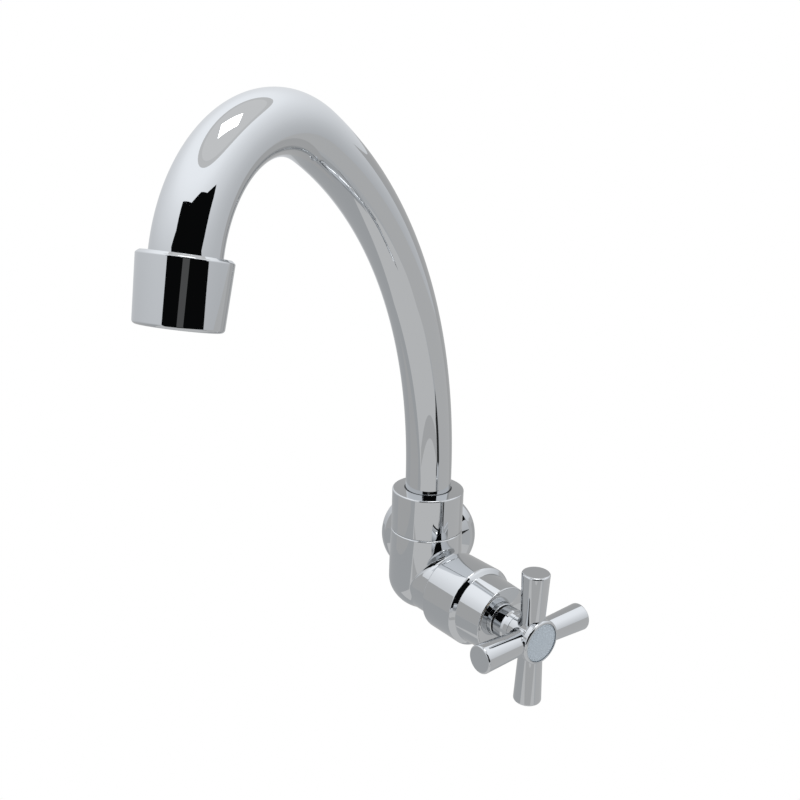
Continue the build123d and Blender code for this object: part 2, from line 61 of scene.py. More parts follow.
def shell(name, rings, facing, closed=True):
    """A closed skin over rings of points, in millimetres. rings[i, j] is point j of ring i, and
    facing[i, j] the direction in which the surface faces there. Quads join each ring to the next,
    and each point to the next one round. If closed, the last ring joins the first. Otherwise the
    first and last rings are poles, each a single point repeated, and a quad at a pole drops the
    corner that repeats the one before it. The volume is the sum of a . (b x c) / 6 over the
    triangles. If it comes out negative, all faces are turned over, and if the directions disagree
    with the faces, they are turned round."""
    rows, columns = rings.shape[:2]
    here = np.arange(rows if closed else rows - 1)
    after = (here + 1) % rows
    j = np.arange(columns)
    k = (j + 1) % columns
    index = np.arange(rows * columns).reshape(rows, columns)
    if not closed:
        index[0] = 0
        index[-1] = index[-1, 0]
    corners = [index[here][:, j], index[here][:, k], index[after][:, k], index[after][:, j]]
    quads = np.stack(corners, -1).reshape(-1, 4)
    points = rings.reshape(-1, 3) * mm
    facing = facing.reshape(-1, 3)
    a, b, c, d = (points[quads[:, i]] for i in range(4))
    volume = (a * np.cross(b, c)).sum() / 6 + (a * np.cross(c, d)).sum() / 6
    quads = quads[:, ::-1] if volume < 0 else quads
    a, b, c, d = (points[quads[:, i]] for i in range(4))
    facing = facing * np.sign((np.cross(c - a, d - b) * facing[quads[:, 0]]).sum())
    used, quads = np.unique(quads, return_inverse=True)
    quads = quads.reshape(-1, 4)
    keep = quads != np.roll(quads, 1, axis=1)
    sizes = keep.sum(1)
    mesh = bpy.data.meshes.new(name)
    mesh.vertices.add(len(used))
    mesh.vertices.foreach_set("co", points[used].astype(np.float32).ravel())
    mesh.loops.add(int(sizes.sum()))
    mesh.loops.foreach_set("vertex_index", quads[keep].astype(np.int32))
    mesh.polygons.add(len(quads))
    mesh.polygons.foreach_set("loop_start", (np.cumsum(sizes) - sizes).astype(np.int32))
    mesh.polygons.foreach_set("use_smooth", np.ones(len(quads), bool))
    mesh.update(calc_edges=True)
    mesh.normals_split_custom_set_from_vertices(facing[used])
    piece = bpy.data.objects.new(name, mesh)
    bpy.context.scene.collection.objects.link(piece)
    print(f"{name}: {len(used)} points, {len(quads)} faces, {abs(volume) * 1e6:.2f} cm3")
    return piece


# %% [markdown]
# Most of the tap came off a lathe, so most of it is a profile turned about an axis. Blender's Screw
# modifier turns profiles too, but without the exact directions. A real turned edge is never quite
# sharp, and its tiny rounding is what catches the light. The profile is therefore given as
# corners, each with a radius, and numpy works out the arcs.

# %% Rounded profiles, and turning them about an axis
arc_step = np.radians(5)


def rounded(*corners, closed=True):
    """A profile with rounded corners, as points and the directions in which it faces. Each corner is
    (x, y, radius). Coming to a corner along one straight and leaving it along the next, the path
    turns by some angle; the arc starts radius * tan(angle / 2) before the corner, and its points
    lie at the radius from its centre. The surface faces to the right of the path."""
    given = np.array(corners, float)
    places, sides = [], []
    for n, corner in enumerate(given):
        place, radius = corner[:2], corner[2]
        come = np.arctan2(*(place - given[n - 1][:2])[::-1])
        go = np.arctan2(*(given[(n + 1) % len(given)][:2] - place)[::-1])
        if not closed and n == 0:
            come = go
        if not closed and n == len(given) - 1:
            go = come
        turn = (go - come + np.pi) % (2 * np.pi) - np.pi
        steps = max(2, int(np.ceil(abs(turn) / arc_step)) + 1)
        angle = come + turn * (np.linspace(0, 1, steps) if radius else np.array([0.5]))
        right = np.stack([np.sin(angle), -np.cos(angle)], -1)
        start = place - np.array([np.cos(come), np.sin(come)]) * radius * np.tan(abs(turn) / 2)
        places.append(start + np.sign(turn) * radius * (right - right[0]))
        sides.append(right)
    return np.concatenate(places), np.concatenate(sides)


def turned(name, profile, origin, way, columns=160, closed=True):
    """A profile turned about an axis: a point (x, r) goes to origin + x * way + r * (a cos t +
    b sin t), with a and b square to the way and t going once round. The facing direction turns in
    the same manner."""
    (x, r), (side_x, side_r) = profile[0].T, profile[1].T
    way = np.array(way, float) / np.linalg.norm(way)
    a = np.cross(way, [0, 0, 1.0] if abs(way[2]) < 0.9 else [1.0, 0, 0])
    a /= np.linalg.norm(a)
    t = np.linspace(0, 2 * np.pi, columns, endpoint=False)
    spoke = np.outer(np.cos(t), a) + np.outer(np.sin(t), np.cross(way, a))
    rings = np.array(origin) + x[:, None, None] * way + r[:, None, None] * spoke
    facing = side_x[:, None, None] * way + side_r[:, None, None] * spoke
    return shell(name, rings, facing, closed)


# %% [markdown]
# Three axes carry the whole tap, and all of them meet in one point inside the body: the upright
# axis of the barrel and the spout, the valve's axis to the front right, and the shank's axis into
# the wall. Places along an axis are counted from that crossing, in millimetres, unless a piece is
# given another starting point.

# %% The three axes of the tap
crossing = np.array([0, -51.0, 0])
up = np.array([0, 0, 1.0])
into_wall = np.array([0, 1.0, 0])
valve_turn = np.radians(42)
spout_turn = np.radians(24.5)
valve_way = np.array([np.sin(valve_turn), -np.cos(valve_turn), 0])
spout_way = np.array([-np.sin(spout_turn), -np.cos(spout_turn), 0])
made = {}
print("valve way", valve_way.round(3), "spout way", spout_way.round(3))

# %% [markdown]
# The collar is the smooth round nut that holds the spout down. A plain cylinder would do from afar,
# but its top rises a little towards the tube, and the rounded edge of that top carries the bright
# line that the photograph shows. So it gets a profile of its own, here and in all that follows with
# one corner to a line: place along the axis, distance from it, and radius of the rounding.

# %% The collar
seam = 26.2
seam_gap = 0.12
top_r = 17.5
made["collar"] = turned(
    "collar_chrome",
    rounded(
        (seam + seam_gap, 15.1, 0.1),
        (seam + seam_gap, top_r, 0.05),
        (46.7, top_r, 0.7),  # the rounded edge of the top
        (47.3, 11.6, 0.2),  # the hole for the tube
        (37.7, 11.6, 0.1),
        (37.7, 15.1, 0.1),  # the bore
    ),
    crossing,
    up,
)

# %% [markdown]
# The shroud is a stepped cover of thin brass over the valve: a sleeve with a soft shoulder, then a
# narrower bell with a small rim. Its front is a shallow cone. The cone and the neck nut mirror each
# other, so its slope decides whether the neck looks bright or dark, and a turned profile lets that
# slope be set to a fraction of a millimetre.

# %% The shroud
made["shroud"] = turned(
    "shroud_chrome",
    rounded(
        (20.6, 16.0, 0.1),  # the rear lip on the boss
        (20.6, 18.5, 0.3),
        (21.5, 19.4, 0.8),  # the sleeve
        (40.4, 19.4, 0.9),  # its soft shoulder
        (41.2, 18.5, 0.4),
        (42.2, 17.05, 0.3),  # the foot of the bell
        (56.5, 16.07, 0.5),  # the rim
        (56.5, 15.6, 0.3),
        (53.85, 8.12, 0.1),  # the inner edge of the cone
        (50.0, 8.12, 0.1),  # the step round the neck nut
        (50.0, 7.15, 0.1),
        (48.8, 7.15, 0.1),  # the inner skin, back to the lip
        (48.8, 14.2, 0.5),
        (48.0, 15.2, 0.5),
        (42.0, 15.5, 1.0),
        (39.4, 18.0, 1.0),
        (21.9, 18.0, 0.3),
        (21.9, 16.0, 0.1),
    ),
    crossing,
    valve_way,
    columns=192,
)

# %% The neck nut, which stands in the shroud's front
made["neck"] = turned(
    "neck_chrome",
    rounded(
        (50.02, 7.1, 0.1),
        (50.02, 8.05, 0.1),
        (56.3, 8.05, 0.5),
        (56.3, 4.8, 0.2),  # the hole for the spindle
        (55.3, 4.8, 0.1),
        (55.3, 7.1, 0.1),
    ),
    crossing,
    valve_way,
    columns=128,
)

# %% [markdown]
# The wall flange is a thin spun dome that hides the hole in the wall. Its rim stands on the wall, and
# its small mouth grips the shank. Half a sphere would be too tall: the real dome is two wide bends
# with a nearly straight cone between them, which the large corner radii give.

# %% The wall flange
made["flange"] = turned(
    "flange_chrome",
    rounded(
        (0, 24.5, 0.1),
        (0, 25.7, 0.2),  # the rim on the wall
        (-2.6, 25.7, 2.0),
        (-6.4, 24.0, 3.0),
        (-9.2, 17.6, 4.0),
        (-12.0, 14.5, 0.4),
        (-12.0, 12.75, 0.1),  # the mouth on the shank
        (-11.0, 12.75, 0.1),  # the inner skin, back to the rim
        (-8.2, 16.4, 3.0),
        (-5.6, 22.6, 3.0),
        (-1.2, 24.5, 0.5),
    ),
    (0, 0, 0),
    into_wall,
    columns=192,
)

# %% [markdown]
# The spout is one tube, bent on a machine: an upright stub, a wide arc, a tight arc and a straight
# end. A Blender curve with a round bevel makes tubes, but its arcs are only nearly round. Here a
# circle is carried along a line that is exact. The line lies in one plane, so the circle never has
# to twist: its two directions are the normal of that plane and the line's inward normal.

# %% The spout's middle line
tube_foot = 35.5


def bent_line(stub, arcs, end):
    """The tube's middle line in its plane, as points and ways (out, up). It starts straight up, then
    turns outwards along each arc (radius, degrees), and ends with a straight piece. A point on an
    arc is the arc's centre plus the radius times the direction that points away from the centre.
    The number of points on an arc grows with its angle and with the root of its radius."""
    places, ways = [np.array([[0, tube_foot], [0, stub]])], [np.array([[0, 1.0], [0, 1.0]])]
    heading = 0.0
    at = np.array([0, stub])
    for radius, degrees in arcs:
        points = int(degrees * radius**0.5 / 9) + 8
        a = heading + np.radians(np.linspace(0, degrees, points))
        middle = at + radius * np.array([np.cos(heading), -np.sin(heading)])
        run = middle + radius * np.stack([-np.cos(a), np.sin(a)], -1)
        places.append(run[1:])
        ways.append(np.stack([np.sin(a), np.cos(a)], -1)[1:])
        heading = a[-1]
        at = run[-1]
    places.append(at + end * ways[-1][-1:])
    ways.append(ways[-1][-1:])
    return np.concatenate(places), np.concatenate(ways)


# %% The spout's tube
def tube(name, places, ways, outer, inner, columns=112):
    """A hollow tube along the line: the outer skin from end to end, then the inner skin back again.
    A point is the line's point + radius * (normal * cos t + across * sin t)."""
    across = np.cross(spout_way, up)
    line = places[:, :1] * spout_way + places[:, 1:] * up + crossing
    normal = ways[:, 1:] * spout_way - ways[:, :1] * up
    t = np.linspace(0, 2 * np.pi, columns, endpoint=False)
    spoke = normal[:, None] * np.cos(t)[:, None] + across * np.sin(t)[:, None]
    rings = np.concatenate([line[:, None] + outer * spoke, (line[:, None] + inner * spoke)[::-1]])
    return shell(name, rings, np.concatenate([spoke, -spoke[::-1]]))


stub_top, straight_end = 53.0, 9.0
arcs = ((177.5, 65.0), (49.4, 102.5))
tube_outer, tube_inner = 11.1, 10.1
places, ways = bent_line(stub_top, arcs, straight_end)
made["spout"] = tube("spout_chrome", places, ways, tube_outer, tube_inner)
outlet = places[-2, 0] * spout_way + places[-2, 1] * up + crossing
outlet_way = ways[-1, 0] * spout_way + ways[-1, 1] * up
print("outlet", outlet.round(2), "way", outlet_way.round(3))

# %% [markdown]
# The aerator screws onto the spout's end. Its shell is a smooth cap that narrows a little towards
# its mouth, and its lip turns in under the screen. It is turned about the spout's last direction.

# %% The aerator's shell
made["aerator"] = turned(
    "aerator_chrome",
    rounded(
        (-0.6, 11.15, 0.1),  # the hole for the tube
        (-0.6, 13.6, 0.4),
        (0.35, 14.75, 0.7),
        (21.4, 13.75, 1.2),  # the mouth
        (21.4, 10.1, 0.3),
        (20.8, 9.6, 0.3),  # the lip
        (19.5, 9.6, 0.1),
        (19.5, 11.15, 0.1),
    ),
    outlet,
    outlet_way,
)

# %% [markdown]
# The handle is one casting: a round stem that slides over the spindle, a hub with a shallow pocket,
# and four bars that grow thicker outwards. A Boolean modifier would join them, but leave ragged
# faces and lose the exact directions, so stem and bars stay separate turned pieces. Each bar starts
# inside the stem, and a soft joint, made further down, covers the place where they meet.

# %% The handle's stem and hub
made["handle"] = turned(
    "handle_chrome",
    rounded(
        (57.3, 6.4, 0.1),
        (57.3, 7.7, 0.3),  # the short collar at its foot
        (62.0, 7.7, 0.3),
        (63.2, 7.4, 1.0),
        (65.65, 7.35, 0.08),
        (65.8, 7.1, 0.05),  # under the soft joint
        (77.5, 7.1, 0.1),
        (77.5, 10.1, 0.2),  # the hub
        (77.9, 10.3, 0.2),
        (80.8, 10.3, 1.15),
        (80.8, 9.05, 0.05),  # the pocket for the button
        (79.2, 9.05, 0.1),
        (79.2, 4.1, 0.1),  # the hole for the screw's head
        (75.0, 4.1, 0.1),
        (75.0, 2.2, 0.1),
        (70.3, 2.2, 0.1),
        (70.3, 5.2, 0.1),  # the bore for the spindle
        (60.5, 5.2, 0.1),
        (60.5, 6.4, 0.1),
    ),
    crossing,
    valve_way,
    columns=144,
)

# %% The four bars, and the button in the hub
arm_place, arm_start, arm_end = 74.4, 6.0, 31.8
arm_middle = crossing + arm_place * valve_way
sideways = np.cross(up, valve_way)
arm_profile = rounded(
    (arm_start, 0, 0), (arm_start, 5.35, 0.1), (arm_end, 6.4, 0.9), (arm_end, 0, 0), closed=False
)
for number, arm_way in enumerate((up, sideways, -up, -sideways), 1):
    name = f"handle_bar_{number}"
    bar = turned(name, arm_profile, arm_middle, arm_way, columns=96, closed=False)
    made[f"arm_{number}"] = bar
made["button"] = turned(
    "button_face",
    rounded((79.2, 0, 0), (79.2, 9.0, 0.1), (80.35, 9.0, 0.35), (80.8, 0, 0), closed=False),
    crossing,
    valve_way,
    columns=96,
    closed=False,
)

# %% [markdown]
# The body is the one piece that no lathe could make: an upright barrel with a domed underside, a
# boss to the front right and a shank to the wall, with soft fillets where they meet. Subdivision
# over a Boolean would blur every edge alike. But seen from the point where the three axes cross,
# each direction leaves the body at exactly one point, so its surface is a distance worked out for
# every direction of a globe. The fillet is what a ball leaves behind as it rolls along the crease.

# %% The plain forms of the body
barrel_r, barrel_depth, corner_r = 18.1, 16.4, 13.6
boss_r, boss_end, boss_ball = 15.9, 24.0, 3.0
shank_r, shank_end, shank_ball = 12.6, 43.0, 2.0
lean = barrel_r - top_r
lean_r = (seam**2 + lean**2) / (2 * lean)
step = barrel_r - corner_r
dome = (step**2 - (barrel_depth - corner_r) ** 2) / (2 * (barrel_depth - corner_r))


def barrel(p):
    """Distance of points p from the barrel: above the valve's height to a very wide arc that leans
    inwards, below it to the corner's arc or, nearer the axis, to the underside's arc, whose centre
    is on the axis at the height called dome."""
    out, z = np.hypot(p[..., 0], p[..., 1]), p[..., 2]
    side = np.hypot(out - barrel_r + lean_r, z) - lean_r
    corner = np.hypot(out - step, z) - corner_r
    under = np.hypot(out, z - dome) - barrel_depth - dome
    return np.where(z >= 0, side, np.where(out * dome < step * (dome - z), under, corner))


def pipe(p, way, radius):
    """Distance from a round bar that runs from the crossing along a level way: on the way's side
    the distance from its axis less the radius, behind it the distance from a ball."""
    round_axis = np.hypot(p @ np.cross(way, up), p[..., 2])
    return np.where(p @ way > 0, round_axis, np.linalg.norm(p, axis=-1)) - radius


def slope(field, p, h=1e-3):
    """The direction in which a distance grows fastest, from differences over a small step h."""
    g = np.stack([field(p + h * e) - field(p - h * e) for e in np.eye(3)], -1)
    return g / np.maximum(np.linalg.norm(g, axis=-1, keepdims=True), 1e-12)


print("dome centre", round(dome, 3), "lean radius", round(lean_r, 1))


# %% The rolling ball's line, and its fillet
def ball_line(way, radius, ball, points=270, halvings=44):
    """Where the centre of the ball runs: at the ball's radius from both the barrel and the bar. For
    each direction round the bar, the place along it is found by halving a span of 60 mm."""
    t = np.linspace(0, 2 * np.pi, points, endpoint=False)[:, None]
    ring = (radius + ball) * (np.cos(t) * np.cross(way, up) + np.sin(t) * up)
    low, high = np.zeros(points), np.full(points, 60.0)
    for _ in range(halvings):
        middle = (low + high) / 2
        inside = barrel(ring + middle[:, None] * way) < ball
        low, high = np.where(inside, middle, low), np.where(inside, high, middle)
    return ring + low[:, None] * way


def joined(p, way, radius, ball, line):
    """Distance from the barrel and the bar with the ball's fillet between them: near the crease the
    surface lies one ball's radius from the line of its centre, on the side of the body."""
    a, b = barrel(p), pipe(p, way, radius)
    plain = np.minimum(a, b)
    near = (np.maximum(a, b) < 1.05 * ball) & (plain > -ball)
    q, gap = p[near], np.full(near.sum(), np.inf)
    for start, end in zip(line, np.roll(line, -1, 0)):
        share = np.clip((q - start) @ (end - start) / ((end - start) @ (end - start)), 0, 1)
        foot = start + share[:, None] * (end - start)
        gap = np.minimum(gap, np.linalg.norm(q - foot, axis=-1))
    # The ball touches barrel and bar at the feet of its centre. Past a foot the plain form holds.
    foot_a = q + slope(barrel, q) * (ball - a[near])[:, None]
    foot_b = q + slope(lambda s: pipe(s, way, radius), q) * (ball - b[near])[:, None]
    past_a, past_b = pipe(foot_a, way, radius) >= ball, barrel(foot_b) >= ball
    best = ball - gap
    best = np.where(past_a, np.maximum(best, a[near]), best)
    best = np.where(past_b, np.maximum(best, b[near]), best)
    plain[near] = best
    return plain


boss_line = ball_line(valve_way, boss_r, boss_ball)
shank_line = ball_line(into_wall, shank_r, shank_ball)
print("ball lines:", len(boss_line), "and", len(shank_line), "points")


# %% How far a point is outside the whole body
def outside_body(p):
    """Distance of points from the body: the lower of the two joined forms, each cut off square at
    the end of its boss or shank."""
    boss = joined(p, valve_way, boss_r, boss_ball, boss_line)
    shank = joined(p, into_wall, shank_r, shank_ball, shank_line)
    boss = np.maximum(boss, p @ valve_way - boss_end)
    shank = np.maximum(shank, p @ into_wall - shank_end)
    return np.minimum(boss, shank)


def outside_plain(p):
    """Distance from the three forms without their fillets."""
    boss = np.maximum(pipe(p, valve_way, boss_r), p @ valve_way - boss_end)
    shank = np.maximum(pipe(p, into_wall, shank_r), p @ into_wall - shank_end)
    return np.minimum(barrel(p), np.minimum(boss, shank))


def leaves(field, ray, low, high, halvings=16):
    """How far along each ray the field turns positive, by halving the span from low to high."""
    low, high = np.broadcast_to(low, len(ray)), np.broadcast_to(high, len(ray))
    for _ in range(halvings):
        middle = (low + high) / 2
        inside = field(ray * middle[:, None]) < 0
        low, high = np.where(inside, middle, low), np.where(inside, high, middle)
    return (low + high) / 2


# %% The body's surface, direction by direction
def body_rings(columns=300, rows=150):
    """For longitude u and latitude v the direction is (cos v cos u, cos v sin u, sin v). The
    distance at which a ray in it leaves the body is found by halving, first without the fillets
    and then, where the two differ by more than 0.0001 mm, with them. The last latitude is that of
    the seam."""
    nearest, furthest, fillet_reach = 8.0, 50.0, 3.5
    u = np.linspace(0, 2 * np.pi, columns, endpoint=False)
    v = np.linspace(-np.pi / 2, np.arctan2(seam, top_r), rows)
    height = np.repeat(np.sin(v)[:, None], columns, 1)
    level = [np.outer(np.cos(v), np.cos(u)), np.outer(np.cos(v), np.sin(u))]
    ray = np.stack([*level, height], -1).reshape(-1, 3)
    far = leaves(outside_plain, ray, nearest, furthest)
    near = np.abs(outside_body(ray * far[:, None])) > 1e-4
    far[near] = leaves(outside_body, ray[near], far[near], far[near] + fillet_reach)
    places = ray * far[:, None]
    facing = slope(outside_body, places, 0.02)
    return places.reshape(rows, columns, 3), facing.reshape(rows, columns, 3), u


rings, facing, u = body_rings()
facing[0] = -up

# %% The socket for the spout in the body's top, which closes the body
socket, socket_side = rounded(
    (seam, top_r, 0.03),
    (seam, 15.0, 0.1),
    (37.5, 15.0, 0.2),  # the neck inside the collar
    (37.5, 13.6, 0.1),
    (33.0, 13.6, 0.1),  # the seat for the spout's foot
    (33.0, 12.05, 0.1),
    (17.5, 12.05, 0.2),  # the floor
    (17.5, 0, 0),
    closed=False,
)
spoke = np.stack([np.cos(u), np.sin(u), 0 * u], -1)
socket_rings = socket[:, 0, None, None] * up + socket[:, 1, None, None] * spoke
socket_facing = socket_side[:, 0, None, None] * up + socket_side[:, 1, None, None] * spoke
rings = np.concatenate([rings[:-1], socket_rings[1:]]) + crossing
facing = np.concatenate([facing[:-1], -socket_facing[1:]])
made["body"] = shell("body_chrome", rings, facing, closed=False)

# %% [markdown]
# Where the bars leave the handle's stem, the casting is full and soft. This joint is made in the
# same way as the body, as a distance for every direction, here from the point where the bars' axes
# meet. It lies a few hundredths of a millimetre inside the bars at its ends, so that they hide its
# cut faces.

# %% The soft joint of stem and bars
joint_rear, joint_front, joint_reach = -8.5, 3.6, 13.6
rear_edge_r = 7.45
stem_r, stem_widens = 7.4, 0.09
bar_r, bar_widens = 5.1, 0.0407
tuck_start, tuck = 12, 0.03


def outside_joint(p, soft=1.6):
    """With a and b the distances from the stem and from the nearest bar, which widen along their
    axes, the softened distance is the lower of the two, less (soft - |a - b|) squared / (4 soft)
    where they differ by less than soft. It is cut off square at the rear and the front of the
    stem's stretch and, inside the bars, at their reach."""
    x, y, z = p @ valve_way, p @ sideways, p @ up
    reach = np.maximum(np.abs(y), np.abs(z))
    a = np.hypot(y, z) - stem_r - stem_widens * (x - joint_rear)
    upright = np.hypot(x, y) - bar_r - bar_widens * np.abs(z)
    level = np.hypot(x, z) - bar_r - bar_widens * np.abs(y)
    b = np.minimum(upright, level) + tuck * np.clip(reach - tuck_start, 0, 1)
    joint = np.minimum(a, b) - np.maximum(soft - np.abs(a - b), 0) ** 2 / (4 * soft)
    joint = np.maximum(joint, reach - joint_reach)
    return np.maximum(joint, np.maximum(x - joint_front, joint_rear - x))


def joint_rings(columns=192):
    """For longitude u about the valve's axis and latitude v, the ray's direction is sin v along the
    axis and cos v across it. Rings lie close together at the rear edge, which shows as a fine line,
    and far apart behind it and in the hub, where nothing shows."""
    edge = np.arctan2(joint_rear, rear_edge_r)
    behind = np.linspace(-np.pi / 2, edge - 0.01, 10)
    at_edge = np.linspace(edge, edge + 0.01, 4)
    seen = np.linspace(edge + 0.02, 1.1, 90)
    v = np.concatenate([behind, at_edge, seen, [1.3, np.pi / 2]])
    u = np.linspace(0, 2 * np.pi, columns, endpoint=False)
    spoke = np.outer(np.cos(u), sideways) + np.outer(np.sin(u), up)
    ray = np.cos(v)[:, None, None] * spoke + np.sin(v)[:, None, None] * valve_way
    ray = ray.reshape(-1, 3)
    places = ray * leaves(outside_joint, ray, 2.0, 20.0)[:, None]
    facing = slope(outside_joint, places, 0.01)
    return places.reshape(len(v), columns, 3), facing.reshape(len(v), columns, 3)


rings, facing = joint_rings()
made["joint"] = shell("handle_joint", rings + arm_middle, facing, closed=False)

# %% [markdown]
# The inlet carries the pipe thread that goes into the wall fitting. A bump texture would look right
# only from the front, while a real groove also shows at the outline. A thread is a turned surface
# whose radius also depends on the angle: the ridge moves along by one pitch for each turn.

# %% The threaded inlet
pitch, major_r, depth, bore = 1.814, 10.45, 1.1, 6.0
plain_start, plain_end, run_out, lead = 1.5, 1.2, 1.5, 1.0


def thread(name, start, end, columns=144, steps=150):
    """A pipe thread: radius = major radius - depth * (1 - wave to the power 0.8), where the wave is
    1 on the crests and 0 in the roots, its phase being place / pitch - angle / full turn. Both ends
    are plain, next to them the depth fades in over the run-out, and the free end is tapered over
    the length of the lead. The last four rings lie where end face, bore and rear face meet."""
    y = np.concatenate([np.linspace(start, end, steps), [end, end, start, start]])
    t = np.linspace(0, 2 * np.pi, columns, endpoint=False)
    wave = 0.5 + 0.5 * np.cos(2 * np.pi * (y[:, None] / pitch - t / (2 * np.pi)))
    fade = np.clip((end - plain_end - y) / run_out, 0, 1)
    fade *= np.clip((y - start - plain_start) / run_out, 0, 1)
    r = major_r - depth * (1 - wave**0.8) * fade[:, None]
    r -= np.clip(y - (end - lead), 0, 1)[:, None]
    r[-4], r[-1] = bore + 0.3, bore + 0.3
    r[-3:-1] = bore
    spoke = np.stack([np.cos(t), 0 * t, np.sin(t)], -1)
    rings = y[:, None, None] * into_wall + r[..., None] * spoke
    along = np.gradient(rings, axis=0)
    around = np.roll(rings, -1, 1) - np.roll(rings, 1, 1)
    facing = np.cross(along, around)
    facing[-4], facing[-1] = into_wall, -into_wall
    facing[-3:-1] = -spoke
    facing /= np.linalg.norm(facing, axis=-1, keepdims=True)
    if (facing[: steps // 2] * spoke).sum() < 0:
        facing[:-4] *= -1
    return shell(name, rings, facing)


made["inlet"] = thread("inlet_thread", -8.0, 12.0)

# %% [markdown]
# Finishes. Chrome is a metal with almost no roughness; what makes it look real is that the polish
# isn't even. Faint wiping marks change the roughness a little. The patterns read Object
# coordinates, which are the same for every piece, so a mark runs on from one piece to the next.

# %% Helpers for materials
def finish(name, colour, metal=0.0, rough=0.3, **more):
    """A material whose main shader has these values, with its node tree and shader to add to."""
    material = bpy.data.materials.new(name)
    material.use_nodes = True
    tree = material.node_tree
    shader = tree.nodes["Principled BSDF"]
    shader.inputs["Base Color"].default_value = (*colour, 1)
    shader.inputs["Metallic"].default_value = metal
    shader.inputs["Roughness"].default_value = rough
    for key, value in more.items():
        shader.inputs[key.replace("_", " ")].default_value = value
    print("finish:", name)
    return material, tree, shader


def noise(tree, stretch=(1, 1, 1), **values):
    """A noise texture on Object coordinates, stretched along the axes by a Mapping node."""
    place = tree.nodes.new("ShaderNodeTexCoord")
    mapping = tree.nodes.new("ShaderNodeMapping")
    mapping.inputs["Scale"].default_value = stretch
    pattern = tree.nodes.new("ShaderNodeTexNoise")
    for key, value in values.items():
        pattern.inputs[key].default_value = value
    tree.links.new(place.outputs["Object"], mapping.inputs["Vector"])
    tree.links.new(mapping.outputs["Vector"], pattern.inputs["Vector"])
    return pattern.outputs["Fac"]


def spread(tree, source, low, high, start=0.0, end=1.0):
    """Maps a texture's values from start..end to low..high."""
    node = tree.nodes.new("ShaderNodeMapRange")
    for key, value in (("From Min", start), ("From Max", end), ("To Min", low), ("To Max", high)):
        node.inputs[key].default_value = value
    tree.links.new(source, node.inputs["Value"])
    return node.outputs["Result"]


def bump(tree, shader, source, distance):
    """Raises the surface by a texture, in metres."""
    node = tree.nodes.new("ShaderNodeBump")
    node.inputs["Distance"].default_value = distance
    node.inputs["Strength"].default_value = 1.0
    tree.links.new(source, node.inputs["Height"])
    tree.links.new(node.outputs["Normal"], shader.inputs["Normal"])


# %% The chrome
made_of = {}
made_of["chrome"], tree, shader = finish("polished_chrome", (0.63, 0.645, 0.66), 1.0, 0.02)
smears = noise(tree, (1, 1, 0.4), Scale=90, Detail=4, Roughness=0.6)
tree.links.new(spread(tree, smears, 0.008, 0.04, 0.4, 0.75), shader.inputs["Roughness"])

# %% [markdown]
# The other finishes are on the button, the slip ring round the tube, the aerator's screen, and the
# parts that show only when the tap is taken apart. Brass, rubber and plastic get a fine grain as
# bump. The grain of ceramic and steel is in the roughness instead, because lapped and drawn
# surfaces are flat but scatter light.

# %% Finishes with a grain that is felt
# Slot, name, colour, metal, roughness; then the grain's scale, detail and height in metres.
grained = (
    ("brass", "machined_brass", (0.74, 0.56, 0.26), 1.0, 0.3, 900, 2, 0.00002),
    ("rubber", "black_rubber", (0.02, 0.02, 0.02), 0.0, 0.7, 1200, 3, 0.00003),
    ("guide_plastic", "guide_plastic", (0.03, 0.03, 0.035), 0.0, 0.4, 1500, 2, 0.00001),
    ("aerator_plastic", "aerator_plastic", (0.8, 0.82, 0.84), 0.0, 0.35, 1500, 2, 0.00001),
)
for slot, name, colour, metal, rough, scale, detail, grain_height in grained:
    made_of[slot], tree, shader = finish(name, colour, metal, rough)
    bump(tree, shader, noise(tree, Scale=scale, Detail=detail), grain_height)

# %% Finishes that are flat but scatter light
made_of["ceramic"], tree, shader = finish("lapped_ceramic", (0.9, 0.89, 0.85), 0.0, 0.15)
grain = noise(tree, Scale=1500, Detail=2)
tree.links.new(spread(tree, grain, 0.1, 0.25), shader.inputs["Roughness"])
made_of["steel"], tree, shader = finish("plain_steel", (0.6, 0.6, 0.61), 1.0, 0.28)
grain = noise(tree, (1, 1, 12), Scale=400, Detail=3)
tree.links.new(spread(tree, grain, 0.2, 0.4), shader.inputs["Roughness"])
made_of["button"], tree, shader = finish(
    "button_enamel", (0.66, 0.75, 0.83), 0.0, 0.3, Coat_Weight=0.5, Coat_Roughness=0.04
)
clouds = noise(tree, Scale=110, Detail=2)
tree.links.new(spread(tree, clouds, 0.22, 0.36), shader.inputs["Roughness"])
print("slots:", ", ".join(made_of))

# %% [markdown]
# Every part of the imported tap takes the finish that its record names. The finer surfaces then stand
# in for the parts whose chrome shows, and ride on the same moving bodies.

# %% Dress the parts
for part in frame["record"]["subparts"]:
    node = frame["nodes"][part["node"]]
    node.data.materials.clear()
    node.data.materials.append(made_of[part["material_slot"]])

stands_for = {
    "collar": ("spout_collar", "body"),
    "shroud": ("bonnet_shroud", "body"),
    "neck": ("neck_nut", "body"),
    "flange": ("wall_flange", "body"),
    "body": ("tap_body", "body"),
    "inlet": ("tap_body", "body"),
    "spout": ("spout_tube", "spout"),
    "aerator": ("aerator_shell", "spout"),
    "button": ("handle_cap", "handle"),
}
# The stem, the four bars and their joint all stand for the cross handle.
for key, piece in made.items():
    node, body = stands_for.get(key, ("cross_handle", "handle"))
    material_slot = "button" if key == "button" else "chrome"
    piece.data.materials.append(made_of[material_slot])
    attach(piece, body)
    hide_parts(node)
print("dressed", len(frame["nodes"]), "parts,", len(made), "finer pieces")

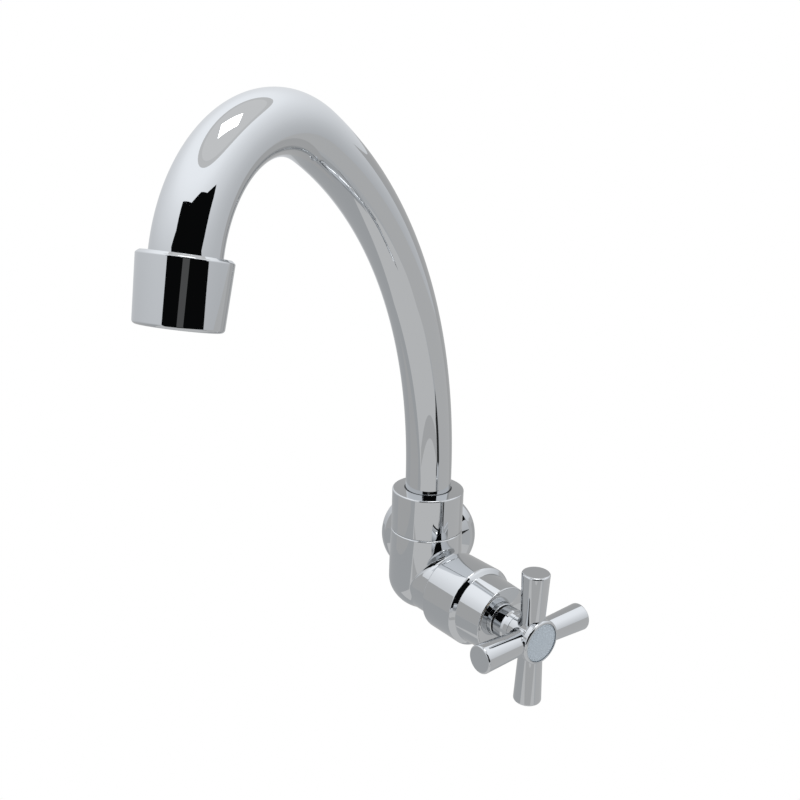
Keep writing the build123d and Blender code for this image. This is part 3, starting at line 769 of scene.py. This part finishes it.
# %% [markdown]
# The studio. A mirror-bright object is lit by what it reflects, so the room matters more than the
# lamps. Lamps alone would leave the metal black, and a ready-made picture of a room would be the
# wrong room. The photograph shows its own in the metal: pale walls and ceiling, a grey floor with a
# paler sheet on it, a grey board behind the tap, a black cloth round the camera, and overhead a
# round umbrella with the lamp bright in its middle. So each of these is a plain glowing sheet, put
# where its picture in the chrome says that it stood.

# %% Sheets to hang in the studio
def toward(azimuth, elevation, away, eye=(-0.05, -0.17, 0.18)):
    """The point at this distance from the eye, which is near the spout's end: eye + away *
    (cos e sin a, -cos e cos a, sin e), where the azimuth a is 0 straight in front and positive to
    the right, and e is the elevation, both in degrees."""
    a, e = np.radians(azimuth), np.radians(elevation)
    way = np.array([np.cos(e) * np.sin(a), -np.cos(e) * np.cos(a), np.sin(e)])
    return np.array(eye) + away * way


def hang(name, corners, strength, tint=(1, 1, 1), middle=None):
    """A sheet with these corners, in triangles about its middle, which is their mean if not given.
    It glows, and the camera looks through it."""
    n = len(corners)
    middle = np.mean(corners, 0) if middle is None else middle
    mesh = bpy.data.meshes.new(name)
    fan = [(0, i + 1, (i + 1) % n + 1) for i in range(n)]
    mesh.from_pydata([middle, *map(np.array, corners)], [], fan)
    cloth = bpy.data.materials.new(name)
    cloth.use_nodes = True
    tree = cloth.node_tree
    tree.nodes.clear()
    glow = tree.nodes.new("ShaderNodeEmission")
    output = tree.nodes.new("ShaderNodeOutputMaterial")
    glow.inputs["Color"].default_value = (*tint, 1)
    glow.inputs["Strength"].default_value = strength
    tree.links.new(glow.outputs[0], output.inputs["Surface"])
    mesh.materials.append(cloth)
    sheet = bpy.data.objects.new(name, mesh)
    bpy.context.scene.collection.objects.link(sheet)
    sheet.visible_camera = False
    print(f"{name}: {n} corners, glow {strength}")


def board(name, x, y, z, strength, tint=(1, 1, 1)):
    """A flat upright or level board: one of x, y and z is a number, the other two are (from, to)."""
    a, b, c = (np.broadcast_to(v, 2) for v in (x, y, z))
    turns = ((0, 0), (1, 0), (1, 1), (0, 1))
    if np.ndim(x) == 0:
        corners = [(a[0], b[i], c[k]) for i, k in turns]
    elif np.ndim(y) == 0:
        corners = [(a[i], b[0], c[k]) for i, k in turns]
    else:
        corners = [(a[i], b[k], c[0]) for i, k in turns]
    hang(name, corners, strength, tint)


# %% In front: the black cloth and, before it, the camera's stand
cloth_left = ((-24.5, -30), (-25.5, -12), (-26.3, 7.5), (-31.6, 16.1), (-24.7, 25.0))
cloth_top = ((-25.9, 40.5), (4.1, 38.5), (26.0, 40.2), (43.8, 33.7), (63.0, 29.0), (64.4, 22.0))
cloth_right = ((62.0, 13.2), (60.0, 8.6), (55.7, 4.7), (63.2, -4.4), (66.0, -7.9), (70.5, -12.0))
cloth_foot = ((70.5, -20), (52, -24), (26, -28), (0, -30))
cloth_edge = cloth_left + cloth_top + cloth_right + cloth_foot
cloth = [toward(a, e, 0.5) for a, e in cloth_edge]
hang("black_cloth", cloth, 0.004, (0.9, 0.95, 1.0), toward(20, 8, 0.5))
stand_edge = ((6, -12), (6, 8), (20, 8), (20, -12))
hang("camera_stand", [toward(a, e, 0.42) for a, e in stand_edge], 0.1)

# %% Low in front: a dark strip for the handle's bars, a rail, the floor and a paler sheet on it
near_valve = (0.01, -0.07, 0.04)
strip_edge = ((45, -26), (45, -21), (57, -21), (57, -26))
hang("dark_strip", [toward(a, e, 0.3, near_valve) for a, e in strip_edge], 0.03)
board("rail", (-0.35, 0.45), -0.5, (-0.268, -0.212), 0.54)
floor = -0.42
floor_tint = (0.98, 1.0, 1.02)
board("floor_left", (-1.3, 0.3), (-1.6, 1.3), floor, 0.49, floor_tint)
board("floor_right", (0.3, 1.3), (-1.6, 1.3), floor, 0.57, floor_tint)
sheet_left = ((-0.85, -1.5), (-0.66, -0.84), (-0.5, -0.37), (-0.38, 0.0))
sheet_right = ((0.26, 0.0), (0.47, -0.34), (0.74, -0.77), (1.0, -1.5))
hang("front_sheet", [(x, y, floor + 0.01) for x, y in sheet_left + sheet_right], 0.69)

# %% At the sides and behind
board("left_board", -0.21, (-0.22, 0.0), (-0.07, 0.085), 0.52)
board("right_board", 0.40, (-0.3, 0.3), (floor, 0.03), 0.59)
back_edge = ((-0.06, floor), (0.24, floor), (0.24, 0.254), (0.0, 0.254), (-0.06, 0.13))
hang("back_board", [(x, 0.13, z) for x, z in back_edge], 0.50)

# %% Overhead: a round umbrella with the lamp in its middle
top = np.array([-0.03, -0.14, 0.2])
middle = toward(105, 81, 1, (0, 0, 0))
side = np.cross(middle, into_wall)
side /= np.linalg.norm(side)
turns = np.linspace(0, 2 * np.pi, 48, endpoint=False)
rim = [side * np.cos(t) + np.cross(middle, side) * np.sin(t) for t in turns]
hang("umbrella_rim", [top + 1.92 * middle + 1.23 * way for way in rim], 0.73)
hang("umbrella", [top + 1.90 * middle + 1.02 * way for way in rim], 0.81)
lamp = ((0.06, -0.175), (0.425, -0.005), (0.22, 0.21), (-0.128, 0.093))
hang("umbrella_lamp", [top + 1.75 * np.array([x, y, 1]) for x, y in lamp], 5.0)

# %% [markdown]
# The room itself is a smooth gradient: pale above, a little darker at the level of the tap, grey
# below. Only the camera sees it as plain white, which is how the photograph's background was
# cleared. A Light Path node tells the two apart.

# %% The room
world = bpy.data.worlds.new("room")
bpy.context.scene.world = world
world.use_nodes = True
tree = world.node_tree
tree.nodes.clear()
output = tree.nodes.new("ShaderNodeOutputWorld")
room = tree.nodes.new("ShaderNodeBackground")
cleared = tree.nodes.new("ShaderNodeBackground")
choose = tree.nodes.new("ShaderNodeMixShader")
place = tree.nodes.new("ShaderNodeTexCoord")
split = tree.nodes.new("ShaderNodeSeparateXYZ")
ramp = tree.nodes.new("ShaderNodeValToRGB")
path = tree.nodes.new("ShaderNodeLightPath")
tree.links.new(place.outputs["Generated"], split.inputs[0])
height = spread(tree, split.outputs["Z"], 0.0, 1.0, -1.0, 1.0)
tree.links.new(height, ramp.inputs["Fac"])
tree.links.new(ramp.outputs["Color"], room.inputs["Color"])
tree.links.new(path.outputs["Is Camera Ray"], choose.inputs["Fac"])
tree.links.new(room.outputs[0], choose.inputs[1])
tree.links.new(cleared.outputs[0], choose.inputs[2])
tree.links.new(choose.outputs[0], output.inputs["Surface"])
cleared.inputs["Color"].default_value = (1, 1, 1, 1)

# %% The greys of the room, by elevation in degrees
below = ((-90, 0.5), (-45, 0.54), (-25, 0.59), (-15, 0.64), (-5, 0.70))
overhead = ((5, 0.78), (15, 0.88), (25, 0.97), (35, 1.07), (45, 1.19), (55, 1.25), (70, 1.27))
shades = below + overhead
while len(ramp.color_ramp.elements) < len(shades):
    ramp.color_ramp.elements.new(0.5)
for element, (elevation, grey) in zip(ramp.color_ramp.elements, shades):
    element.position = (np.sin(np.radians(elevation)) + 1) / 2
    element.color = (0.98 * grey, grey, 1.03 * grey, 1)
print("room shades:", len(shades))

# %% [markdown]
# The camera stands in front of the tap and looks down at it a little. Its place, its lens and its
# three angles were worked out from the tap's edges in the photograph, because a camera that is only
# nearly right shows another side of every round form.

# %% The camera
heading, pitch_down, roll = np.radians(3.19), np.radians(16.76), np.radians(1.5445)
level = np.array([-np.sin(heading), np.cos(heading), 0])
forward = level * np.cos(pitch_down) - up * np.sin(pitch_down)
right = np.array([np.cos(heading), np.sin(heading), 0])
above = np.cross(right, forward)
rolled_right = right * np.cos(roll) + above * np.sin(roll)
rolled_above = above * np.cos(roll) - right * np.sin(roll)
view = bpy.data.cameras.new("camera")
view.lens = 42.934
view.sensor_width = 36.0
view.clip_start = 0.01
view.clip_end = 50.0
camera = bpy.data.objects.new("camera", view)
axes = np.stack([rolled_right, rolled_above, -forward], 1)
turn = Matrix([list(row) for row in axes]).to_4x4()
camera.matrix_world = Matrix.Translation((0.00938, -0.48683, 0.22254)) @ turn
bpy.context.scene.collection.objects.link(camera)
bpy.context.scene.camera = camera
bpy.context.scene.view_settings.view_transform = "Standard"
print("camera looks", forward.round(3))
